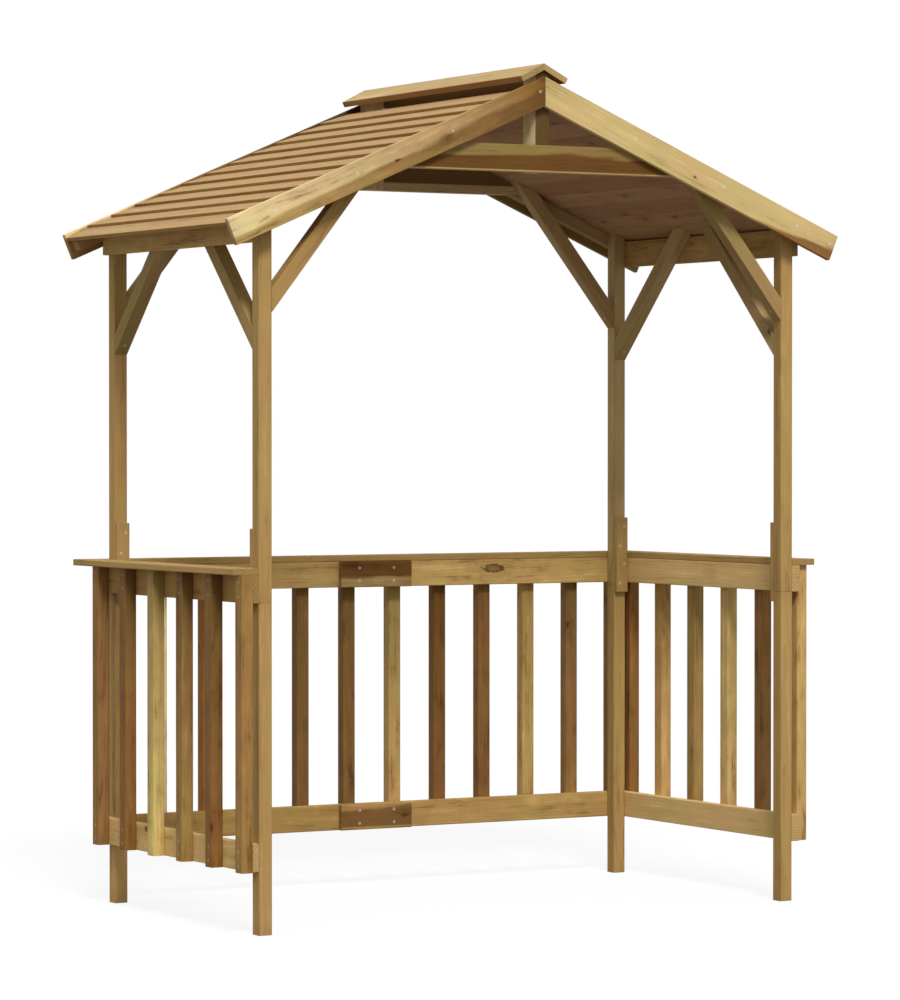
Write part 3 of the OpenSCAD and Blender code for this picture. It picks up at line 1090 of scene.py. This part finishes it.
def spread(start, end, count):
    """Values at even steps from start to end."""
    return [start + (end - start) * number / (count - 1) for number in range(count)]


low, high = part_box("rail_joint_plates")
for way in (-1, 1):
    x = (low[0] + high[0]) / 2 + way * JOINT_SCREW_REACH
    screws_up(x, low[1], FENCE_HEIGHTS, (0, -1, 0))

for low, high in island_boxes("post_splices", ACROSS):
    inner = high.y if high.y < 0 else low.y
    for number, share in enumerate(SPLICE_SCREWS):
        x = (low.x + high.x) / 2 + (SPLICE_ZIGZAG if number % 2 else -SPLICE_ZIGZAG)
        screw((x, inner, low.z + share * (high.z - low.z)), (0, -inner, 0))

frame_x, frame_y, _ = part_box("back_right_post")[1]
front_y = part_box("front_right_post")[0][1]
MARGINS = {"top_rail": RAIL_MARGIN, "bottom_rail": RAIL_MARGIN, "eaves_beam": BEAM_MARGIN}
for side, way in (("left", -1), ("right", 1)):
    for node, margin in MARGINS.items():
        low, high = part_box(f"{side}_{node}")
        outer = low[0] if way < 0 else high[0]
        for y in (front_y + POST_MARGIN, frame_y - POST_MARGIN):
            screws_up(outer, y, rail_heights(f"{side}_{node}", margin), (way, 0, 0))

shelf_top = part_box("back_shelf")[1][2]
rail_line = (frame_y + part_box("back_top_rail")[1][1]) / 2
reach = frame_x - BACK_SHELF_MARGIN
for x in spread(-reach, reach, BACK_SHELF_SCREWS):
    screw((x, rail_line, shelf_top), (0, 0, 1))
near, far = front_y + SIDE_SHELF_MARGINS[0], frame_y - SIDE_SHELF_MARGINS[1]
for way in (-1, 1):
    for y in spread(near, far, SIDE_SHELF_SCREWS):
        screw((way * (frame_x + OVER_SIDE_RAIL), y, shelf_top), (0, 0, 1))
print(len(SCREW_PLACES), "so far")

# %% Screws in the barge boards
def slope_and_middle(node):
    """The direction along a timber, and its middle."""
    bm = merged_copy(node)
    part = list(bm.verts)
    along, centre = timber_axes(part)[0], middle(part)
    bm.free()
    return along, centre


# Shares of the way down from the ridge, where one screw holds both boards.
BARGE_SCREWS = {"left": (0.017, 0.30, 0.60, 0.855, 0.97), "right": (0.30, 0.60, 0.855, 0.97)}
for end in ("front", "back"):
    for side in ("left", "right"):
        node = f"{end}_{side}_barge_board"
        along, centre = slope_and_middle(node)
        low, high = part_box(node)
        outward = -1 if end == "front" else 1
        face = (low[1] + FACE_PLANED_OFF) if end == "front" else (high[1] - FACE_PLANED_OFF)
        ridge = low[0] if side == "right" else high[0]
        reach = (high[0] - low[0]) * (1 if side == "right" else -1)
        for share in BARGE_SCREWS[side]:
            x = ridge + share * reach
            z = centre.z + (x - centre.x) * along.z / along.x
            screw((x, face, z), (0, outward, 0))
print(len(SCREW_PLACES), "with the barge boards")

# %% Screws in the braces and nails in the roof boards
BRACE_FOOT = 0.040
NAIL_SHARES = (0.45, 0.85)
END_MARGIN = 0.022
for corner in GABLE_BRACES:
    for axis, kind in enumerate(("gable", "side")):
        node = f"{corner}_{kind}_brace"
        along, centre = slope_and_middle(node)
        low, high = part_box(node)
        up = along if along.z > 0 else -along
        inward = Vector((0, 0, 0))
        inward[axis] = -math.copysign(1, centre[axis])
        under = (inward - up * inward.dot(up)).normalized()
        if under.z > 0:
            under = -under
        # The foot's lowest corner is on the brace's lower face.
        foot = Vector(centre)
        foot.z = low[2]
        foot[axis] = high[axis] if centre[axis] > 0 else low[axis]
        screw(foot + up * BRACE_FOOT, under)

for node in ("left_roof_boards", "right_roof_boards"):
    bm = merged_copy(node)
    for part in islands(bm):
        low, high = corners(part)
        # The upper face runs from the thin edge, the highest, to the upper one
        # of the two corners furthest out.
        section = {(round(v.co.x, 5), round(v.co.z, 5)) for v in part}
        section = sorted(section, key=lambda c: -c[1])
        thick = max(sorted(section, key=lambda c: -abs(c[0]))[:2], key=lambda c: c[1])
        thin, thick = (Vector((c[0], 0, c[1])) for c in (section[0], thick))
        slope = thick - thin
        square = Vector((-slope.z, 0, slope.x)).normalized()
        if square.z < 0:
            square = -square
        for share in NAIL_SHARES:
            place = thin + slope * share
            for y in (high.y - END_MARGIN, low.y + END_MARGIN):
                screw((place.x, y, place.z), square, SMALL)
    bm.free()
print(len(SCREW_PLACES), "screws and nails in all")

# %% A screw head
HEAD_RADIUS = 0.004
PROUD = 0.0004
# The rings of a head's corners, each a radius and a height, from below.
HEAD_RINGS = ((0.90 * HEAD_RADIUS, -0.0020), (HEAD_RADIUS, PROUD * 0.4), (0.82 * HEAD_RADIUS, PROUD))
HEAD_SIDES = 12
RECESS_RADIUS, RECESS_DEPTH, RECESS_SIDES = 0.0017, 0.0010, 4


def level_ring(bm, radius, height, count, start=0.0):
    """Vertices on a level circle, the first of them start steps round."""
    turns = [math.tau * (k + start) / count for k in range(count)]
    return [bm.verts.new((radius * math.cos(t), radius * math.sin(t), height)) for t in turns]


def screw_head():
    """A dished head, square recess down, its rim just proud of the wood."""
    bm = bmesh.new()
    loops = [level_ring(bm, radius, height, HEAD_SIDES) for radius, height in HEAD_RINGS]
    recess = level_ring(bm, RECESS_RADIUS, -RECESS_DEPTH, RECESS_SIDES, 0.5)
    bm.faces.new(list(reversed(loops[0])))
    for lower, upper in zip(loops, loops[1:]):
        for k in range(HEAD_SIDES):
            after = (k + 1) % HEAD_SIDES
            bm.faces.new((lower[k], lower[after], upper[after], upper[k]))
    quarter = HEAD_SIDES // RECESS_SIDES
    for k in range(RECESS_SIDES):
        first = int((k + 0.5) * quarter)
        span = [loops[-1][(first + j) % HEAD_SIDES] for j in range(quarter + 1)]
        bm.faces.new(span + [recess[(k + 1) % RECESS_SIDES], recess[k]])
    bm.faces.new(recess)
    bmesh.ops.recalc_face_normals(bm, faces=bm.faces)
    return add_object("screw_head", as_mesh(bm, "screw_head"))


head = screw_head()
print("a head has", len(head.data.polygons), "faces")

# %% Screw tree and zinc
BRIGHT, DULL, RUSTED = (0.70, 0.56, 0.38, 1), (0.52, 0.39, 0.24, 1), (0.20, 0.13, 0.07, 1)


def screw_tree():
    group, ids, tree = start_group("screw_heads", {
        "Head": ("Object", None), "Spread": ("Float", 0.0), "Seed": ("Int", 5),
        "Metal": ("Material", None),
    })
    given = tree.add("NodeGroupInput", out="Head")
    facing, size = (
        tree.add(
            "GeometryNodeInputNamedAttribute", {"data_type": kind}, {"Name": name}, out="Attribute",
        )
        for kind, name in (("FLOAT_VECTOR", "facing"), ("FLOAT", "size"))
    )
    turned = tree.add("FunctionNodeAlignRotationToVector", {"axis": "Z"}, {"Vector": facing})
    spin = tree.add(
        "FunctionNodeRandomValue", {"data_type": "FLOAT"},
        {2: 0.0, 3: given.output("Spread"), "Seed": given.output("Seed")}, out="Value",
    )
    shape = tree.add("GeometryNodeObjectInfo", {}, {"Object": given}, out="Geometry")
    spun = tree.add("ShaderNodeCombineXYZ", {}, {"Z": spin})
    heads = tree.add(
        "GeometryNodeInstanceOnPoints", {},
        {"Points": given.output("Geometry"), "Instance": shape, "Rotation": turned, "Scale": size},
    )
    twisted = tree.add("GeometryNodeRotateInstances", {}, {"Instances": heads, "Rotation": spun})
    end_group(tree, twisted, given.output("Metal"))
    return group, ids


def zinc():
    """Dull zinc on the screws. Nails are small, went in bare and have rusted."""
    paint, tree = new_material("zinc_plate")
    place = tree.add("ShaderNodeTexCoord", out="Object")
    tarnish = tree.noise(place, 60.0, 3.0, 0.6)
    scratch = tree.noise(place, 900.0, 2.0, 0.6)
    metal = tree.blend(tree.step(tarnish, 0.30, 0.70), BRIGHT, DULL)
    size = tree.add("ShaderNodeAttribute", {"attribute_name": "size"}, out="Fac")
    metal = tree.blend(tree.step(size, 0.7, 0.9), RUSTED, metal)
    roughness = 0.50 + (tarnish - 0.5) * 0.3 + (scratch - 0.5) * 0.2
    surface = {"Base Color": metal, "Roughness": roughness, "Metallic": 0.6}
    end_material(tree, 0.3, 0.0002, scratch, surface)
    return paint


SCREW_HEADS = screw_tree()
print("screw tree has", len(SCREW_HEADS[1]), "inputs")

# %% Place the screws
places = bpy.data.meshes.new("screw_places")
places.from_pydata([place for place, _, _ in SCREW_PLACES], [], [])
places.attributes.new("facing", "FLOAT_VECTOR", "POINT")
places.attributes.new("size", "FLOAT", "POINT")
for number, (_, way, size) in enumerate(SCREW_PLACES):
    places.attributes["facing"].data[number].vector = way
    places.attributes["size"].data[number].value = size
mesh = run_tree(
    add_object("screws", places), SCREW_HEADS,
    {"Head": head, "Spread": math.tau, "Seed": 5, "Metal": zinc()},
)
bpy.data.objects.remove(head)
bm = bmesh.new()
bm.from_mesh(mesh)
screws = finish_piece(bm, "screws", mesh.materials[0], None)
print(len(screws.data.polygons), "faces of screws")
